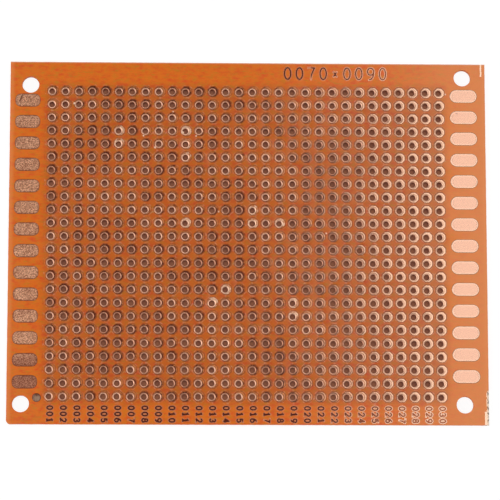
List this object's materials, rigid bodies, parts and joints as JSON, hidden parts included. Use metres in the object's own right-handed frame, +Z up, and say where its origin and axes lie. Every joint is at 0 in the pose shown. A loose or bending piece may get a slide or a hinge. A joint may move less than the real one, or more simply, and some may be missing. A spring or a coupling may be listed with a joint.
{
  "type": "prototype board",
  "caption": "Flat single-sided phenolic board with a square grid of lead holes in copper pads, oblong edge pads and corner mounting holes.",
  "frame": {"origin": "centre of the board's bare underside", "axes": "+X along the long side towards the bright copper edge pads, +Y across the board towards the far long side, +Z up through the copper side"},
  "size_m": [0.0906, 0.0694, 0.0012],
  "materials": {
    "phenolic_laminate": "orange-brown paper phenolic under a clear flux lacquer, drilled and sawn edges bare",
    "copper_foil": "etched copper foil, pink where bright and brown where tarnished, under the same clear lacquer"
  },
  "bodies": {
    "root": {"laminate": "phenolic_laminate", "edge_pad_left_01": "copper_foil", "edge_pad_left_02": "copper_foil", "edge_pad_left_03": "copper_foil", "edge_pad_left_04": "copper_foil", "edge_pad_left_05": "copper_foil", "edge_pad_left_06": "copper_foil", "edge_pad_left_07": "copper_foil", "edge_pad_left_08": "copper_foil", "edge_pad_left_09": "copper_foil", "edge_pad_left_10": "copper_foil", "edge_pad_left_11": "copper_foil", "edge_pad_left_12": "copper_foil", "edge_pad_left_13": "copper_foil", "edge_pad_left_14": "copper_foil", "edge_pad_right_01": "copper_foil", "edge_pad_right_02": "copper_foil", "edge_pad_right_03": "copper_foil", "edge_pad_right_04": "copper_foil", "edge_pad_right_05": "copper_foil", "edge_pad_right_06": "copper_foil", "edge_pad_right_07": "copper_foil", "edge_pad_right_08": "copper_foil", "edge_pad_right_09": "copper_foil", "edge_pad_right_10": "copper_foil", "edge_pad_right_11": "copper_foil", "edge_pad_right_12": "copper_foil", "edge_pad_right_13": "copper_foil", "edge_pad_right_14": "copper_foil", "dot_pad": "copper_foil", "border_strip_far": "copper_foil", "border_strip_near": "copper_foil"}
  },
  "joints": []
}
